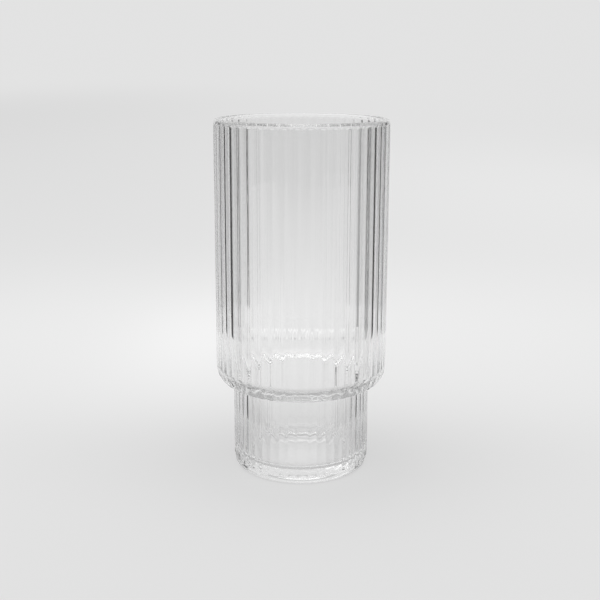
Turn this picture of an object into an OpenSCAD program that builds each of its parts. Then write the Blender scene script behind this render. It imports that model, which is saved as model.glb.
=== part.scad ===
/* [Overall sizes] */
// Height of the glass from the table to the top of the rim
height = 154; // [130:1:180]
// Diameter of the upper body across the crests of its ribs
barrel_d = 75.5; // [70:0.5:84]
// Diameter of the foot across the crests of its ribs
foot_d = 60.4; // [54:0.1:64]
// Height of the shoulder's underside above the table
foot_h = 38.2; // [30:0.1:48]

/* [Ribs] */
// Number of ribs round the glass
rib_count = 46; // [36:1:52]
// Depth of the grooves between the ribs of the upper body
barrel_rib_depth = 0.5; // [0.2:0.05:0.8]
// Depth of the grooves between the ribs of the foot
foot_rib_depth = 0.4; // [0.2:0.05:0.7]

/* [Walls] */
// Wall of the upper body, from the bore to the crests
barrel_wall = 2.4; // [1.4:0.1:3.2]
// Wall of the foot, from the bore to the crests
foot_wall = 2; // [1.4:0.1:3.2]
// Thickness of the floor
floor_t = 5.5; // [4:0.1:8]
// Radius where the floor turns up into the wall, inside
floor_corner_r = 4.5; // [2:0.1:7]

/* [Shoulder] */
// Height of the outside curve from its underside to the straight body
shoulder_curve_h = 7.6; // [6:0.1:12]
// How far the outside curve comes in from the body's crests
shoulder_curve_in = 6.4; // [4:0.1:6.5]
// Radius of the hollow corner between the underside and the foot
step_corner_r = 0.6; // [0.4:0.1:1.2]
// Radius of the rounded inside corner of the bowl
bowl_corner_r = 3; // [2:0.1:6]
// Radius of the rounded edge where the bowl drops into the foot
ledge_edge_r = 3; // [1.5:0.1:5]
// Lean of the bowl's sloping bottom from upright, in degrees
bowl_lean = 55; // [40:1:80]
// Height at which the foot's bore starts to open out, above the foot's straight wall
ledge_rise = 0.2; // [0.1:0.1:2]
// Straight band of the body that belongs to the shoulder, above its curves
shoulder_band = 3; // [1:0.1:6]

/* [Rim] */
// Height of the smooth rim above the ends of the ribs
rim_h = 2.4; // [1.6:0.1:4]
// Thickness of the rim
rim_t = 2.1; // [1.3:0.1:2.6]

/* [Base] */
// Height at which the ribs run out into the smooth heel
heel_rib_end = 3.3; // [2.9:0.1:4.5]
// Length over which the ribs rise to their full depth
heel_rib_blend = 0.9; // [0.5:0.1:1.5]
// Radius of the rounded edge under the heel
heel_r = 2.6; // [1.5:0.1:2.8]
// Width of the flat ring that the glass stands on
stand_ring_w = 5; // [3:0.1:8]
// Height of the hollow inside the standing ring
push_up = 0.9; // [0.4:0.1:1.5]

/* [Hidden] */
$fn = 96;

// Points along one rib, and the power that makes crests broad and grooves narrow
rib_steps = 6;
rib_power_share = 0.6;
// Share of the rib's depth that is left at the edge of the shoulder's underside
underside_rib_share = 0.35;
// Rise of the shoulder's underside, as a share of its hollow corner, which keeps its levels apart
underside_lift_share = 0.125;
// Steps along one rounded stretch of an outline
arc_steps = 12;
shoulder_steps = 7;
heel_steps = 3;
corner_steps = 2;
// How far a cut runs past the solid that it opens
overrun = 1;
glass_colour = [0.80, 0.86, 0.85, 0.55];

barrel_r = barrel_d / 2;
foot_r = foot_d / 2;
barrel_bore_r = barrel_r - barrel_wall;
foot_bore_r = foot_r - foot_wall;
rim_bore_r = barrel_bore_r;
rim_r = rim_bore_r + rim_t;

rim_z = height - rim_h;
base_top = floor_t + floor_corner_r;
foot_top = foot_h - step_corner_r;
ledge_z = foot_top + ledge_rise;

// The outside curve takes what the hollow corner leaves of the step between body and foot
curve_in = min(shoulder_curve_in, barrel_r - foot_r - step_corner_r);
curve_top = foot_h + shoulder_curve_h;
underside_lift = step_corner_r * underside_lift_share;

// The inside of the shoulder is two arcs with a straight slope between them, where the step leaves room for it
bore_step = barrel_bore_r - foot_bore_r;
bowl_arcs_r = bowl_corner_r + ledge_edge_r;
bowl_angle = min(bowl_lean, acos(max(1 - bore_step / bowl_arcs_r, -1)));
slope_l = (bore_step - bowl_arcs_r * (1 - cos(bowl_angle))) / sin(bowl_angle);
bowl_z = ledge_z + bowl_arcs_r * sin(bowl_angle) + slope_l * cos(bowl_angle);
shoulder_top = max(bowl_z, curve_top) + shoulder_band;

heel_smooth_r = foot_r - foot_rib_depth;
stand_r = heel_smooth_r - heel_r;
push_up_r = stand_r - stand_ring_w;
push_up_sphere_r = (pow(push_up_r, 2) + pow(push_up, 2)) / (2 * push_up);

// Points of an elliptic arc about [x, y], from angle a0 to angle a1
function arc(x, y, rx, ry, a0, a1, steps) = [
    for (i = [0 : steps])
        let (a = a0 + (a1 - a0) * i / steps)
        [x + rx * cos(a), y + ry * sin(a)]
];

// Share of a rib's height at a share t of its pitch, 1 on the crest and 0 in the groove
function rib_height_share(t) = pow((1 + cos(360 * t)) / 2, rib_power_share);

// Outline of the ribbed wall at one level
function rib_outline(crest_r, depth) = [
    for (rib = [0 : rib_count - 1], step = [0 : rib_steps - 1])
        let (
            t = step / rib_steps,
            a = 360 * (rib + t) / rib_count,
            r = crest_r - depth * (1 - rib_height_share(t))
        )
        [r * cos(a), r * sin(a)]
];

// Closed solid through a stack of ribbed outlines, each given as [z, crest_r, depth]
module ribbed_stack(rings) {
    n = rib_count * rib_steps;
    top = len(rings) - 1;
    points = [
        for (ring = rings)
            for (p = rib_outline(ring[1], ring[2]))
                [p[0], p[1], ring[0]]
    ];
    sides = [
        for (level = [0 : top - 1], i = [0 : n - 1])
            let (
                next = (i + 1) % n,
                a = level * n + i,
                b = level * n + next,
                c = b + n,
                d = a + n
            )
            each [[a, d, c], [a, c, b]]
    ];
    underside = [for (i = [0 : n - 1]) i];
    upside = [for (i = [n - 1 : -1 : 0]) top * n + i];
    polyhedron(points = points, faces = concat([underside, upside], sides));
}

// Straight ribbed tube between two levels
module ribbed_tube(z0, z1, crest_r, depth, bore_r) {
    translate([0, 0, z0])
        difference() {
            linear_extrude(height = z1 - z0)
                polygon(rib_outline(crest_r, depth));
            translate([0, 0, -overrun])
                cylinder(r = bore_r, h = z1 - z0 + 2 * overrun);
        }
}

// Rib depth along the outside curve, fading towards the underside
function shoulder_depth(a) =
    foot_rib_depth * underside_rib_share
    + (barrel_rib_depth - foot_rib_depth * underside_rib_share) * sin(a);

// Levels of the shoulder's outside, from the foot up to the straight body
function shoulder_rings() =
    let (
        corner = arc(foot_r + step_corner_r, foot_top, step_corner_r, step_corner_r, 180, 90, corner_steps),
        curve = arc(barrel_r - curve_in, curve_top, curve_in, shoulder_curve_h, -90, 0, shoulder_steps)
    )
    concat(
        [for (p = corner) [p[1], p[0], foot_rib_depth]],
        [
            for (i = [0 : shoulder_steps])
                [curve[i][1] + (i == 0 ? underside_lift : 0), curve[i][0], shoulder_depth(90 * i / shoulder_steps)]
        ],
        [[shoulder_top, barrel_r, barrel_rib_depth]]
    );

// Levels of the base's outside, from the table up to the foot
function heel_rings() =
    concat(
        [
            for (p = arc(stand_r, heel_r, heel_r, heel_r, -90, 0, heel_steps))
                [p[1], p[0], 0]
        ],
        [
            [heel_rib_end, heel_smooth_r, 0],
            [heel_rib_end + heel_rib_blend, foot_r, foot_rib_depth],
            [base_top, foot_r, foot_rib_depth]
        ]
    );

// Smooth ring that finishes the mouth, with a round top
module lip() {
    color(glass_colour)
        rotate_extrude()
            polygon(concat(
                [[rim_r, rim_z], [rim_bore_r, rim_z]],
                arc(rim_bore_r + rim_t / 2, height - rim_t / 2, rim_t / 2, rim_t / 2, 180, 0, arc_steps)
            ));
}

// Ribbed wall of the upper body
module barrel() {
    color(glass_colour)
        ribbed_tube(shoulder_top, rim_z, barrel_r, barrel_rib_depth, barrel_bore_r);
}

// Rounded step between the upper body and the foot
module shoulder() {
    color(glass_colour)
        difference() {
            ribbed_stack(shoulder_rings());
            rotate_extrude()
                polygon(concat(
                    [
                        [0, foot_top - overrun],
                        [foot_bore_r, foot_top - overrun]
                    ],
                    arc(foot_bore_r + ledge_edge_r, ledge_z, ledge_edge_r, ledge_edge_r,
                        180, 180 - bowl_angle, arc_steps),
                    arc(barrel_bore_r - bowl_corner_r, bowl_z, bowl_corner_r, bowl_corner_r,
                        -bowl_angle, 0, arc_steps),
                    [
                        [barrel_bore_r, shoulder_top + overrun],
                        [0, shoulder_top + overrun]
                    ]
                ));
        }
}

// Ribbed wall of the foot
module foot() {
    color(glass_colour)
        ribbed_tube(base_top, foot_top, foot_r, foot_rib_depth, foot_bore_r);
}

// Thick floor with a rounded heel, a standing ring and a shallow hollow inside it
module base() {
    color(glass_colour)
        difference() {
            ribbed_stack(heel_rings());
            rotate_extrude()
                polygon(concat(
                    [[0, floor_t]],
                    arc(foot_bore_r - floor_corner_r, base_top, floor_corner_r, floor_corner_r,
                        -90, 0, arc_steps),
                    [
                        [foot_bore_r, base_top + overrun],
                        [0, base_top + overrun]
                    ]
                ));
            intersection() {
                translate([0, 0, push_up - push_up_sphere_r])
                    sphere(r = push_up_sphere_r);
                cylinder(r = push_up_r + overrun, h = push_up + overrun);
            }
        }
}

lip();
barrel();
shoulder();
foot();
base();
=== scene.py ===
import math

import bmesh
import bpy
import numpy as np
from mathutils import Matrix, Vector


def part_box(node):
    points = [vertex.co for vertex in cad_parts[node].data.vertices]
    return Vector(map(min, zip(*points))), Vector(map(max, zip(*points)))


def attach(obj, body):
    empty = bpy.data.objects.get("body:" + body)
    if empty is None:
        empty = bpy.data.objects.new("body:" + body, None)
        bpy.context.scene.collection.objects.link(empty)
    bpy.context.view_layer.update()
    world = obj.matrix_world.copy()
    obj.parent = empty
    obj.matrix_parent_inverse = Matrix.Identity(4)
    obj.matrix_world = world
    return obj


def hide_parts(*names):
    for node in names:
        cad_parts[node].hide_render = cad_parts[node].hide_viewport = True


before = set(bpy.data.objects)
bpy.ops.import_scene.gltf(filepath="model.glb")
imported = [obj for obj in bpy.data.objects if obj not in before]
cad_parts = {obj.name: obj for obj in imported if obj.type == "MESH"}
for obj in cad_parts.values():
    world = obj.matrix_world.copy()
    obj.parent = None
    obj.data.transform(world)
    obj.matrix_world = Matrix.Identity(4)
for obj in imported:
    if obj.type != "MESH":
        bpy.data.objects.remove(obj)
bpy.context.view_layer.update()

# Sizes of the CAD model and their places
MM = 0.001

BOX = {name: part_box(name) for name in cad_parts}
HEIGHT = BOX["lip"][1].z
RIM_Z = BOX["lip"][0].z
SHOULDER_TOP = BOX["barrel"][0].z
FOOT_TOP = BOX["shoulder"][0].z
BASE_TOP = BOX["base"][1].z
BARREL_R = BOX["barrel"][1].x
FOOT_R = BOX["foot"][1].x
RIM_R = BOX["lip"][1].x

# Walls, in step with the CAD model
BARREL_WALL = 2.4 * MM
FOOT_WALL = 2.0 * MM
FLOOR_T = 5.5 * MM
FLOOR_CORNER_R = BASE_TOP - FLOOR_T

# Shoulder
STEP_CORNER_R = 0.6 * MM
SHOULDER_CURVE_H = 7.6 * MM
SHOULDER_CURVE_IN = 6.4 * MM
BOWL_CORNER_R = 3.0 * MM
LEDGE_EDGE_R = 3.0 * MM
LEDGE_RISE = 0.2 * MM
BOWL_LEAN = 55

# Base
HEEL_R = 2.6 * MM
HEEL_RIB_END = 3.3 * MM
HEEL_RIB_BLEND = 0.9 * MM
STAND_RING_W = 5.0 * MM
PUSH_UP = 0.9 * MM

# Ribs
RIB_COUNT = 46
RIB_STEPS = 14
RIB_POWER = 0.6
BARREL_RIB = 0.5 * MM
FOOT_RIB = 0.4 * MM
INNER_RIB = 0.06 * MM
UNDERSIDE_RIB_SHARE = 0.35
LIP_RIB_BLEND = 0.9 * MM

# Distances between the rings of points along straight walls
COARSE_STEP = 2.0 * MM
FINE_STEP = 0.6 * MM
SAME_POINT = 0.0001 * MM

# Steps along each curve of the section
DISH_STEPS = 12
HEEL_STEPS = 14
RUN_OUT_STEPS = 8
STEP_CORNER_STEPS = 8
SHOULDER_STEPS = 26
LIP_STEPS = 10
RIM_STEPS = 20
BOWL_STEPS = 16
SLOPE_STEPS = 8
FLOOR_STEPS = 10

# Material of a face, as its place in the list of materials
GLASS = 0
SEAM = 1

ANGLES = np.arange(RIB_COUNT * RIB_STEPS) * 2 * math.pi / (RIB_COUNT * RIB_STEPS)

# Radii inside, and the places where the curves start
BARREL_BORE = BARREL_R - BARREL_WALL
FOOT_BORE = FOOT_R - FOOT_WALL
RIM_T = RIM_R - BARREL_BORE
ROUND_Z = HEIGHT - RIM_T / 2
UNDERSIDE_Z = FOOT_TOP + STEP_CORNER_R
CURVE_TOP = UNDERSIDE_Z + SHOULDER_CURVE_H
CURVE_R = BARREL_R - SHOULDER_CURVE_IN

# Hand of the maker: slow waves in the wall, as (around, along, size, phase)
WAVES = (
    (2, 19.0, 0.05 * MM, 0.4),
    (3, 31.0, 0.04 * MM, 1.9),
    (5, 47.0, 0.03 * MM, 3.1),
    (7, 23.0, 0.02 * MM, 5.2),
)

# Look of the glass
GLASS_TINT = 0.97
GLASS_IOR = 1.5
LAMP_TINT = 0.94
WEAR_PITCH = 1.5 * MM
WEAR_DETAIL = 3
WEAR_POWER = 3.0
WEAR_ROUGHNESS = 0.05
RIPPLE_PITCH = 9.0 * MM
RIPPLE_DETAIL = 2
RIPPLE_DEPTH = 0.02 * MM

# Camera, and how far it and the stage are turned about the glass to meet the ribs as the photograph does
FRAME_PX = 600
SENSOR = 36.0
FOCAL_PX = 959.8
CAMERA_D = 411.6 * MM
CAMERA_Z = 179.8 * MM
PITCH = 12.23
SHIFT_Y = -0.06
ROLL = -0.15
AXIS_PX = 301.95
TURN = 2.6
CLIP_START = 10 * MM
CLIP_END = 200

# Light that is trapped in the wall climbs to the rim in many reflections
BOUNCES = 64

# Floor and its tones, where 1 is white. Pools of painted light and shade are given as amount, place and
# spreads, in metres
BACKDROP = 0.765
ROOM_LIGHT = 0.70
FLOOR_SIZE = 80
FLOOR_GAP = 0.05 * MM
FLOOR_COLOUR = 0.80
FLOOR_LIT_SHARE = 0.4
FLOOR_LIT_REACH = 0.6
# Painted light behind, beside and under the glass, and a painted shadow round the foot
PAINTED_LIGHT_AND_SHADE_POOLS = (
    (0.13, -0.03, 0.19, 0.30, 0.20),
    (0.09, -0.065, 0.18, 0.05, 0.11),
    (-0.09, 0.0, 0.01, 0.13, 0.05),
    (0.05, 0.35, 0.60, 0.35, 0.90),
    (-0.06, -1.0, 2.0, 0.8, 2.5),
    (0.50, 0.0, -0.004, 0.022, 0.022),
)

# Painted light and painted shadow that the rim and the ribs throw on the floor behind the glass. Arches are
# given as amount, how far they reach, radius and width
PAINTED_THROWN_LIGHT_ARCHES = (
    (0.35, 211 * MM, 45 * MM, 2.8 * MM),
    (-0.40, 192 * MM, 45 * MM, 1.8 * MM),
)
# Fine streaks of painted light and shade that the ribs throw on the floor behind the glass
STREAK_PITCH = 3.0 * MM
STREAK_LENGTH = 300 * MM
PAINTED_STREAK_CONTRAST = 0.45
NOISE_MIDDLE = 0.5
STREAK_AREA = (0, 110 * MM, 26 * MM, 50 * MM)

# Dark cards: name, span in degrees from straight behind, tone, radius, height, share of it that fades,
# and whether only reflections show it. Where two of them overlap, that one stands in front
CARD_STEPS = 24
SIDE_CARD = (235 * MM, 200 * MM, 0.1)
LOW_CARD = (85 * MM, 16 * MM, 0.3)
CARDS = (
    ("card_right_far", 36, 40, 0.4, *SIDE_CARD, False),
    ("card_right_edge", 40, 60, 0.01, *SIDE_CARD, False),
    ("card_right", 60, 90, 0.04, *SIDE_CARD, True),
    ("card_right_mid", 100, 110, 0.01, *SIDE_CARD, True),
    ("card_right_near", 120, 131, 0.25, *SIDE_CARD, True),
    ("card_left", -100, -46, 0.02, *SIDE_CARD, True),
    ("card_left_edge", -58, -40, 0.2, 240 * MM, 200 * MM, 0.1, False),
    ("card_low_right", 50, 130, 0.10, *LOW_CARD, True),
    ("card_low_left", -130, -50, 0.10, *LOW_CARD, True),
    ("card_front", 110, 250, 0.15, 1.0, 0.6, 0.9, True),
)

# For rays that the glass reflects, the floor is darker under and beside the glass, and darkens towards
# the front card
SHADE_POOLS = (
    (-0.6, 0, 5 * MM, 25 * MM, 25 * MM),
    (-0.6, 62 * MM, 15 * MM, 25 * MM, 45 * MM),
    (-0.6, -62 * MM, 15 * MM, 25 * MM, 45 * MM),
)
FRONT_SHADE = 0.6
FRONT_SHADE_NEAR = 0.35
FRONT_SHADE_FAR = 1.0

# Lamps: name, place and size in metres, and brightness
LAMPS = (
    ("overhead", (0.0, 0.1, 1.4), 1.4, 0.65),
    ("key", (-0.6, 0.5, 1.1), 1.1, 0.7),
)


def arc(x, z, rx, rz, a0, a1, steps):
    """Points of an elliptic arc about (x, z), from angle a0 to a1 in degrees."""
    angles = [math.radians(a0 + (a1 - a0) * i / steps) for i in range(steps + 1)]
    return [(x + rx * math.cos(a), z + rz * math.sin(a)) for a in angles]


def straight(r, z0, z1, step):
    """Points up or down a straight wall, about step apart."""
    n = max(1, round(abs(z1 - z0) / step))
    return [(r, z0 + (z1 - z0) * i / n) for i in range(n + 1)]


def between(start, end, steps):
    """Points on the straight line from start to end, without its ends."""
    shares = [i / steps for i in range(1, steps)]
    return [(start[0] + (end[0] - start[0]) * t, start[1] + (end[1] - start[1]) * t) for t in shares]


def smooth(t):
    """A share that eases in and out."""
    t = min(max(t, 0.0), 1.0)
    return t * t * (3 - 2 * t)


def without_repeats(points):
    """The points with each one that repeats the last left out."""
    kept = [points[0]]
    for p in points[1:]:
        if math.dist(p, kept[-1]) > SAME_POINT:
            kept.append(p)
    return kept


def outer_depth(r, z):
    """Depth of the grooves at one level of the outside."""
    if z > RIM_Z:
        return BARREL_RIB * (1 - smooth((z - RIM_Z) / LIP_RIB_BLEND))
    if z >= CURVE_TOP:
        return BARREL_RIB
    if z <= FOOT_TOP:
        return FOOT_RIB * smooth((z - HEEL_RIB_END) / HEEL_RIB_BLEND)
    faint = FOOT_RIB * UNDERSIDE_RIB_SHARE
    if r < CURVE_R:
        return FOOT_RIB + (faint - FOOT_RIB) * smooth((r - FOOT_R) / (CURVE_R - FOOT_R))
    rise = 1 - (CURVE_TOP - z) / SHOULDER_CURVE_H
    return faint + (BARREL_RIB - faint) * math.sqrt(max(0, 1 - (1 - rise) ** 2))


def ring(r, z, depth):
    """One ring of points round the glass, ribbed to that depth. The slow waves only ever bring it in."""
    share = ((1 + np.cos(ANGLES * RIB_COUNT)) / 2) ** RIB_POWER
    wave = sum(size * np.sin(around * ANGLES + along * z + phase) for around, along, size, phase in WAVES)
    fade = min(1.0, r / FOOT_BORE) ** 2 * smooth(z / HEEL_RIB_END)
    radius = r - depth * (1 - share) + wave * fade - sum(w[2] for w in WAVES) * fade
    return np.stack([radius * np.cos(ANGLES), radius * np.sin(ANGLES), np.full_like(ANGLES, z)], axis=1)


def outside_points():
    """The outside from the middle of the underside up to the mouth, split at the seams between pieces."""
    heel_side = FOOT_R - FOOT_RIB
    stand_r = heel_side - HEEL_R
    dish_r = stand_r - STAND_RING_W
    ribs_full = HEEL_RIB_END + HEEL_RIB_BLEND
    shares = [i / DISH_STEPS for i in range(1, DISH_STEPS + 1)]
    base = [(dish_r * t, PUSH_UP * (1 - t ** 2)) for t in shares]
    base += arc(stand_r, HEEL_R, HEEL_R, HEEL_R, -90, 0, HEEL_STEPS)
    shares = [i / RUN_OUT_STEPS for i in range(RUN_OUT_STEPS + 1)]
    base += [(heel_side + FOOT_RIB * smooth(t), HEEL_RIB_END + HEEL_RIB_BLEND * t) for t in shares]
    base += straight(FOOT_R, ribs_full, BASE_TOP, FINE_STEP)
    foot = straight(FOOT_R, BASE_TOP, FOOT_TOP, COARSE_STEP)
    corner_r = FOOT_R + STEP_CORNER_R
    shoulder = arc(corner_r, FOOT_TOP, STEP_CORNER_R, STEP_CORNER_R, 180, 90, STEP_CORNER_STEPS)
    shoulder += arc(CURVE_R, CURVE_TOP, SHOULDER_CURVE_IN, SHOULDER_CURVE_H, -90, 0, SHOULDER_STEPS)
    shoulder += straight(BARREL_R, CURVE_TOP, SHOULDER_TOP, FINE_STEP)
    barrel = straight(BARREL_R, SHOULDER_TOP, RIM_Z, COARSE_STEP)
    shares = [i / LIP_STEPS for i in range(LIP_STEPS + 1)]
    lip = [(BARREL_R + (RIM_R - BARREL_R) * smooth(t), RIM_Z + (ROUND_Z - RIM_Z) * t) for t in shares]
    lip += arc(BARREL_BORE + RIM_T / 2, ROUND_Z, RIM_T / 2, RIM_T / 2, 0, 180, RIM_STEPS)
    return {"base": base, "foot": foot, "shoulder": shoulder, "barrel": barrel, "lip": lip}


def inside_points():
    """The inside from the rim down to the middle of the floor, split at the same seams."""
    arcs = BOWL_CORNER_R + LEDGE_EDGE_R
    lean = math.radians(BOWL_LEAN)
    slope = (BARREL_BORE - FOOT_BORE - arcs * (1 - math.cos(lean))) / math.sin(lean)
    ledge_z = FOOT_TOP + LEDGE_RISE
    bowl_z = ledge_z + arcs * math.sin(lean) + slope * math.cos(lean)
    lip = straight(BARREL_BORE, ROUND_Z, RIM_Z, FINE_STEP)
    barrel = straight(BARREL_BORE, RIM_Z, SHOULDER_TOP, COARSE_STEP)
    bowl_r = BARREL_BORE - BOWL_CORNER_R
    bowl = arc(bowl_r, bowl_z, BOWL_CORNER_R, BOWL_CORNER_R, 0, -BOWL_LEAN, BOWL_STEPS)
    edge_r = FOOT_BORE + LEDGE_EDGE_R
    edge = arc(edge_r, ledge_z, LEDGE_EDGE_R, LEDGE_EDGE_R, 180 - BOWL_LEAN, 180, BOWL_STEPS)
    shoulder = straight(BARREL_BORE, SHOULDER_TOP, bowl_z, FINE_STEP)
    shoulder += bowl + between(bowl[-1], edge[0], SLOPE_STEPS) + edge
    shoulder.append((FOOT_BORE, FOOT_TOP))
    foot = straight(FOOT_BORE, FOOT_TOP, BASE_TOP, COARSE_STEP)
    flat_r = FOOT_BORE - FLOOR_CORNER_R
    base = arc(flat_r, BASE_TOP, FLOOR_CORNER_R, FLOOR_CORNER_R, 0, -90, BOWL_STEPS)
    base += [(flat_r * (1 - i / FLOOR_STEPS), FLOOR_T) for i in range(1, FLOOR_STEPS)]
    return {"base": base, "foot": foot, "shoulder": shoulder, "barrel": barrel, "lip": lip}


def band_faces(low, high, n):
    """Faces between two rings of n points each."""
    pairs = [(i, (i + 1) % n) for i in range(n)]
    return [(low * n + i, low * n + j, high * n + j, high * n + i) for i, j in pairs]


def cap_faces(level, pole, n):
    """Faces between a ring of n points and the point in its middle."""
    return [(level * n + i, level * n + (i + 1) % n, pole) for i in range(n)]


def glass_piece(name, outer, inner, materials):
    """Closed mesh of one zone of the glass. The faces where it joins its neighbours are seams."""
    outer = without_repeats(outer)
    inner = without_repeats(inner)
    rings = [ring(r, z, outer_depth(r, z)) for r, z in outer]
    rings += [ring(r, z, INNER_RIB) for r, z in inner]
    n = len(ANGLES)
    verts = np.concatenate(rings).tolist()
    faces, marks = [], []
    open_bottom = name == "base"
    seam_bands = {len(outer) - 1} if name != "lip" else set()
    last = len(rings) - 1
    bands = [(k, k + 1) for k in range(last)]
    if not open_bottom:
        bands.append((last, 0))
        seam_bands.add(last)
    for k, (low, high) in enumerate(bands):
        faces += band_faces(low, high, n)
        marks += [SEAM if k in seam_bands else GLASS] * n
    if open_bottom:
        for level, z in ((0, PUSH_UP), (last, FLOOR_T)):
            faces += cap_faces(level, len(verts), n)
            marks += [GLASS] * n
            verts.append((0.0, 0.0, z))
    mesh = bpy.data.meshes.new(name)
    mesh.from_pydata(verts, [], faces)
    for material in materials:
        mesh.materials.append(material)
    mesh.polygons.foreach_set("material_index", marks)
    mesh.polygons.foreach_set("use_smooth", [True] * len(faces))
    finish_mesh(mesh, name == "lip")
    piece = bpy.data.objects.new("glass_" + name, mesh)
    bpy.context.scene.collection.objects.link(piece)
    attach(piece, "root")
    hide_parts(name)


def finish_mesh(mesh, join_ends):
    """Turns all faces outwards, and keeps the edges round the seams sharp. The lip's outside and inside end
    in the same ring of points, which join_ends makes one."""
    bm = bmesh.new()
    bm.from_mesh(mesh)
    if join_ends:
        bmesh.ops.remove_doubles(bm, verts=bm.verts, dist=SAME_POINT)
    bmesh.ops.recalc_face_normals(bm, faces=bm.faces)
    for edge in bm.edges:
        edge.smooth = len({f.material_index for f in edge.link_faces}) == 1
    bm.to_mesh(mesh)
    bm.free()


def grey(tone):
    """A grey of that tone, as a colour."""
    return (tone, tone, tone, 1)


def new_material(name):
    """An empty node material, and the input of its surface."""
    material = bpy.data.materials.new(name)
    material.use_nodes = True
    nodes, links = material.node_tree.nodes, material.node_tree.links
    nodes.clear()
    surface = nodes.new("ShaderNodeOutputMaterial").inputs["Surface"]
    return material, nodes, links, surface


def math_node(nodes, links, operation, first, second=None):
    """A maths node whose inputs are sockets or plain numbers."""
    node = nodes.new("ShaderNodeMath")
    node.operation = operation
    for socket, value in zip(node.inputs, (first, second)):
        if value is None:
            continue
        if isinstance(value, (int, float)):
            socket.default_value = value
        else:
            links.new(value, socket)
    return node.outputs[0]


def vector_node(nodes, links, operation, first, second):
    """A vector maths node on a socket and a socket or plain vector."""
    node = nodes.new("ShaderNodeVectorMath")
    node.operation = operation
    links.new(first, node.inputs[0])
    if isinstance(second, tuple):
        node.inputs[1].default_value = second
    else:
        links.new(second, node.inputs[1])
    return node


def noise(nodes, links, place, pitch, detail):
    """Noise whose lumps are about one pitch apart."""
    texture = nodes.new("ShaderNodeTexNoise")
    texture.inputs["Scale"].default_value = 1 / pitch
    texture.inputs["Detail"].default_value = detail
    links.new(place, texture.inputs["Vector"])
    return texture.outputs[0]


def ease(nodes, links, value, start, end, low, high):
    """Goes smoothly from low to high while the value goes from start to end."""
    node = nodes.new("ShaderNodeMapRange")
    node.interpolation_type = "SMOOTHSTEP"
    for socket, number in (("From Min", start), ("From Max", end), ("To Min", low), ("To Max", high)):
        node.inputs[socket].default_value = number
    links.new(value, node.inputs["Value"])
    return node.outputs[0]


def fade_out(nodes, links, square):
    """1 where a squared distance is zero, fading out as it grows."""
    return math_node(nodes, links, "EXPONENT", math_node(nodes, links, "MULTIPLY", square, -1.0))


def coordinate(nodes, links, place, axis):
    """One coordinate of a place."""
    parts = nodes.new("ShaderNodeSeparateXYZ")
    links.new(place, parts.inputs[0])
    return parts.outputs[axis]


def mixed(nodes, links, share, first, second):
    """Mix of two shaders, where the share is the second one's."""
    mix = nodes.new("ShaderNodeMixShader")
    for socket, value in zip(mix.inputs, (share, first, second)):
        links.new(value, socket)
    return mix.outputs[0]


def clear_glass():
    """Clear glass with a faint unevenness and a trace of wear, which lets lamps through to the floor."""
    material, nodes, links, surface = new_material("clear_glass")
    glass = nodes.new("ShaderNodeBsdfPrincipled")
    glass.inputs["Base Color"].default_value = grey(GLASS_TINT)
    glass.inputs["IOR"].default_value = GLASS_IOR
    glass.inputs["Transmission Weight"].default_value = 1.0
    place = nodes.new("ShaderNodeTexCoord").outputs["Object"]
    wear = noise(nodes, links, place, WEAR_PITCH, WEAR_DETAIL)
    spots = math_node(nodes, links, "POWER", wear, WEAR_POWER)
    links.new(math_node(nodes, links, "MULTIPLY", spots, WEAR_ROUGHNESS), glass.inputs["Roughness"])
    bump = nodes.new("ShaderNodeBump")
    bump.inputs["Distance"].default_value = RIPPLE_DEPTH
    links.new(noise(nodes, links, place, RIPPLE_PITCH, RIPPLE_DETAIL), bump.inputs["Height"])
    links.new(bump.outputs[0], glass.inputs["Normal"])
    through = nodes.new("ShaderNodeBsdfTransparent")
    through.inputs["Color"].default_value = grey(LAMP_TINT)
    shadow = nodes.new("ShaderNodeLightPath").outputs["Is Shadow Ray"]
    links.new(mixed(nodes, links, shadow, glass.outputs[0], through.outputs[0]), surface)
    return material


def seam():
    """Nothing shows where two zones of the one glass are fused."""
    material, nodes, links, surface = new_material("fused_seam")
    links.new(nodes.new("ShaderNodeBsdfTransparent").outputs[0], surface)
    return material


def turned(x, y, z=0.0):
    """A place on the stage, turned about the glass's axis."""
    a = math.radians(TURN)
    return (x * math.cos(a) - y * math.sin(a), x * math.sin(a) + y * math.cos(a), z)


def add_camera():
    """Camera at the photograph's angle, with the glass's axis at the photograph's place."""
    data = bpy.data.cameras.new("camera")
    data.sensor_width = SENSOR
    data.lens = FOCAL_PX / FRAME_PX * SENSOR
    data.shift_y = SHIFT_Y
    data.clip_start = CLIP_START
    data.clip_end = CLIP_END
    camera = bpy.data.objects.new("camera", data)
    aside = (AXIS_PX - FRAME_PX / 2) * CAMERA_D / FOCAL_PX
    camera.location = turned(-aside, -CAMERA_D, CAMERA_Z)
    camera.rotation_euler = (math.radians(90 - PITCH), math.radians(ROLL), math.radians(TURN))
    bpy.context.scene.collection.objects.link(camera)
    bpy.context.scene.camera = camera


def stage_place(nodes, links):
    """Where a point of the floor lies on the stage, before the stage was turned."""
    place = nodes.new("ShaderNodeNewGeometry")
    turn_back = nodes.new("ShaderNodeVectorRotate")
    turn_back.rotation_type = "Z_AXIS"
    turn_back.inputs["Angle"].default_value = -math.radians(TURN)
    links.new(place.outputs["Position"], turn_back.inputs["Vector"])
    return turn_back.outputs[0]


def pool(nodes, links, place, x, y, spread_x, spread_y):
    """A soft round pool on the floor: 1 at its middle, fading out over the spreads."""
    off = vector_node(nodes, links, "SUBTRACT", place, (x, y, 0)).outputs[0]
    scaled = vector_node(nodes, links, "MULTIPLY", off, (1 / spread_x, 1 / spread_y, 0)).outputs[0]
    return fade_out(nodes, links, vector_node(nodes, links, "DOT_PRODUCT", scaled, scaled).outputs["Value"])


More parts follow.
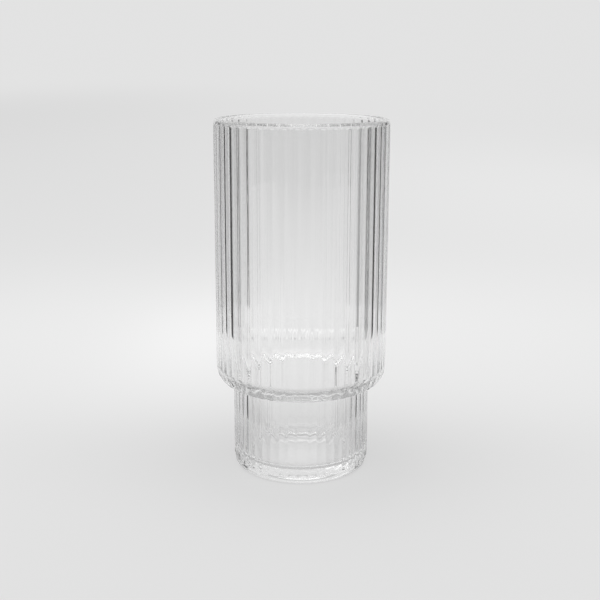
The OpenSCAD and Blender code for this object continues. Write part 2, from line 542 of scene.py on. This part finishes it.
def painted_light_ring(nodes, links, place, far_y, radius, width):
    """The far half of a ring of painted thrown light on the floor, which reaches as far as far_y. A
    negative amount makes it a painted shadow line.
    """
    off = vector_node(nodes, links, "SUBTRACT", place, (0, far_y - radius, 0)).outputs[0]
    flat = vector_node(nodes, links, "MULTIPLY", off, (1, 1, 0)).outputs[0]
    distance = nodes.new("ShaderNodeVectorMath")
    distance.operation = "LENGTH"
    links.new(flat, distance.inputs[0])
    gap = math_node(nodes, links, "SUBTRACT", distance.outputs["Value"], radius)
    widths = math_node(nodes, links, "DIVIDE", gap, width)
    line = fade_out(nodes, links, math_node(nodes, links, "MULTIPLY", widths, widths))
    far = ease(nodes, links, coordinate(nodes, links, flat, "Y"), 0, radius, 0, 1)
    return math_node(nodes, links, "MULTIPLY", line, far)


def painted_rib_light_streaks(nodes, links, place):
    """Painted light and shade in fine lines that run away from the glass, as its ribs throw them on the
    floor behind it.
    """
    squeeze = (1 / STREAK_PITCH, 1 / STREAK_LENGTH, 0)
    squeezed = vector_node(nodes, links, "MULTIPLY", place, squeeze).outputs[0]
    lines = math_node(nodes, links, "SUBTRACT", noise(nodes, links, squeezed, 1.0, 1), NOISE_MIDDLE)
    return math_node(nodes, links, "MULTIPLY", lines, pool(nodes, links, place, *STREAK_AREA))


def through_glass(nodes, links):
    """1 for rays that have met the glass, and 0 for rays straight from the camera."""
    path = nodes.new("ShaderNodeLightPath")
    return math_node(nodes, links, "SUBTRACT", 1.0, path.outputs["Is Camera Ray"])


def once_reflected(nodes, links):
    """1 for rays that a surface has reflected at least once."""
    path = nodes.new("ShaderNodeLightPath")
    return math_node(nodes, links, "GREATER_THAN", path.outputs["Glossy Depth"], 0.5)


def front_shade(nodes, links, place):
    """0 beside the glass, rising to 1 under the front card."""
    y = coordinate(nodes, links, place, "Y")
    return ease(nodes, links, y, -FRONT_SHADE_NEAR, -FRONT_SHADE_FAR, 0, 1)


def seen_directly(nodes, links):
    """1 for rays from the camera and rays that glass bends or reflects, and 0 for light."""
    rays = nodes.new("ShaderNodeLightPath").outputs
    first = math_node(nodes, links, "MAXIMUM", rays["Is Camera Ray"], rays["Is Transmission Ray"])
    return math_node(nodes, links, "MAXIMUM", first, rays["Is Glossy Ray"])


def limited(nodes, links, limit, parts):
    """The parts, shown only to the rays for which the limit is 1."""
    return [(amount, math_node(nodes, links, "MULTIPLY", part, limit)) for amount, part in parts]


def floor_tone(nodes, links, place):
    """The floor's plain tone with painted pools of light and shade, and the glass's thrown light and
    shadow, painted.
    """
    parts = [(amount, pool(nodes, links, place, *shape)) for amount, *shape in PAINTED_LIGHT_AND_SHADE_POOLS]
    painted_thrown_light = [(amount, painted_light_ring(nodes, links, place, *shape)) for amount, *shape in PAINTED_THROWN_LIGHT_ARCHES]
    painted_thrown_light.append((PAINTED_STREAK_CONTRAST, painted_rib_light_streaks(nodes, links, place)))
    parts += limited(nodes, links, through_glass(nodes, links), painted_thrown_light)
    shades = [(amount, pool(nodes, links, place, *shape)) for amount, *shape in SHADE_POOLS]
    shades.append((-FRONT_SHADE, front_shade(nodes, links, place)))
    parts += limited(nodes, links, once_reflected(nodes, links), shades)
    tone = BACKDROP
    for amount, part in parts:
        tone = math_node(nodes, links, "ADD", math_node(nodes, links, "MULTIPLY", part, amount), tone)
    return tone


def floor_material():
    """Pale matt floor. The camera sees mostly its plain tone with painted light and shade; the rest is lit
    by the lamps.
    """
    material, nodes, links, surface = new_material("floor")
    matt = nodes.new("ShaderNodeBsdfDiffuse")
    matt.inputs["Color"].default_value = grey(FLOOR_COLOUR)
    place = stage_place(nodes, links)
    # The emission carries the floor's tone with its painted light and shade
    plain = nodes.new("ShaderNodeEmission")
    links.new(floor_tone(nodes, links, place), plain.inputs["Color"])
    near = pool(nodes, links, place, 0, 0, FLOOR_LIT_REACH, FLOOR_LIT_REACH)
    lit = math_node(nodes, links, "MULTIPLY", near, FLOOR_LIT_SHARE)
    flat = math_node(nodes, links, "SUBTRACT", 1.0, lit)
    share = math_node(nodes, links, "MULTIPLY", flat, seen_directly(nodes, links))
    links.new(mixed(nodes, links, share, matt.outputs[0], plain.outputs[0]), surface)
    return material


def add_to_stage(name, verts, faces, material):
    """An object that belongs to the stage and not to the glass."""
    mesh = bpy.data.meshes.new(name)
    mesh.from_pydata(verts, [], faces)
    mesh.materials.append(material)
    thing = bpy.data.objects.new(name, mesh)
    bpy.context.scene.collection.objects.link(thing)
    return thing


def add_floor():
    """A flat floor that reaches the horizon."""
    corners = ((-1, -1), (1, -1), (1, 1), (-1, 1))
    verts = [(x * FLOOR_SIZE, y * FLOOR_SIZE, -FLOOR_GAP) for x, y in corners]
    add_to_stage("floor", verts, [(0, 1, 2, 3)], floor_material())


def card_material(name, tone, height, fade_share, reflected_only):
    """Plain tone that fades out towards the card's top."""
    material, nodes, links, surface = new_material(name)
    card = nodes.new("ShaderNodeEmission")
    card.inputs["Color"].default_value = grey(tone)
    place = nodes.new("ShaderNodeNewGeometry").outputs["Position"]
    z = coordinate(nodes, links, place, "Z")
    share = ease(nodes, links, z, height * (1 - fade_share), height, 1, 0)
    if reflected_only:
        share = math_node(nodes, links, "MULTIPLY", share, once_reflected(nodes, links))
    clear = nodes.new("ShaderNodeBsdfTransparent")
    links.new(mixed(nodes, links, share, clear.outputs[0], card.outputs[0]), surface)
    return material


def add_card(name, from_deg, to_deg, tone, radius, height, fade_share, reflected_only):
    """A dark card that only the glass sees, bent round part of a circle about it."""
    verts, faces = [], []
    for i in range(CARD_STEPS + 1):
        a = math.radians(from_deg + (to_deg - from_deg) * i / CARD_STEPS)
        x, y, z = turned(radius * math.sin(a), radius * math.cos(a))
        verts += [(x, y, z), (x, y, height)]
    for i in range(CARD_STEPS):
        faces.append((2 * i, 2 * i + 2, 2 * i + 3, 2 * i + 1))
    material = card_material(name, tone, height, fade_share, reflected_only)
    card = add_to_stage(name, verts, faces, material)
    card.visible_camera = False
    card.visible_diffuse = False
    card.visible_shadow = False


def add_light(name, place, size, brightness):
    """A soft square lamp aimed at the middle of the glass. A brightness of 1 looks white."""
    data = bpy.data.lights.new(name, "AREA")
    data.shape = "SQUARE"
    data.size = size
    data.energy = brightness * math.pi * size ** 2
    lamp = bpy.data.objects.new(name, data)
    lamp.location = turned(*place)
    target = bpy.data.objects.new(name + "_aim", None)
    target.location = (0, 0, HEIGHT / 2)
    bpy.context.scene.collection.objects.link(target)
    aim = lamp.constraints.new("TRACK_TO")
    aim.target = target
    aim.track_axis = "TRACK_NEGATIVE_Z"
    aim.up_axis = "UP_Y"
    bpy.context.scene.collection.objects.link(lamp)


def set_world():
    """Pale room light, in the backdrop's tone where it is seen."""
    world = bpy.data.worlds.new("studio")
    bpy.context.scene.world = world
    world.use_nodes = True
    nodes, links = world.node_tree.nodes, world.node_tree.links
    nodes.clear()
    surface = nodes.new("ShaderNodeOutputWorld").inputs["Surface"]
    room = nodes.new("ShaderNodeBackground")
    room.inputs["Color"].default_value = grey(ROOM_LIGHT)
    seen = nodes.new("ShaderNodeBackground")
    seen.inputs["Color"].default_value = grey(BACKDROP)
    links.new(mixed(nodes, links, seen_directly(nodes, links), room.outputs[0], seen.outputs[0]), surface)


materials = [clear_glass(), seam()]
outside = outside_points()
inside = inside_points()
for name in ("base", "foot", "shoulder", "barrel", "lip"):
    glass_piece(name, outside[name], inside[name], materials)

add_floor()
set_world()
for card in CARDS:
    add_card(*card)
for lamp in LAMPS:
    add_light(*lamp)
add_camera()

scene = bpy.context.scene
scene.view_settings.view_transform = "Standard"
scene.cycles.max_bounces = BOUNCES
scene.cycles.glossy_bounces = BOUNCES
scene.cycles.transmission_bounces = BOUNCES
scene.cycles.transparent_max_bounces = BOUNCES
scene.cycles.caustics_reflective = False
scene.cycles.caustics_refractive = False
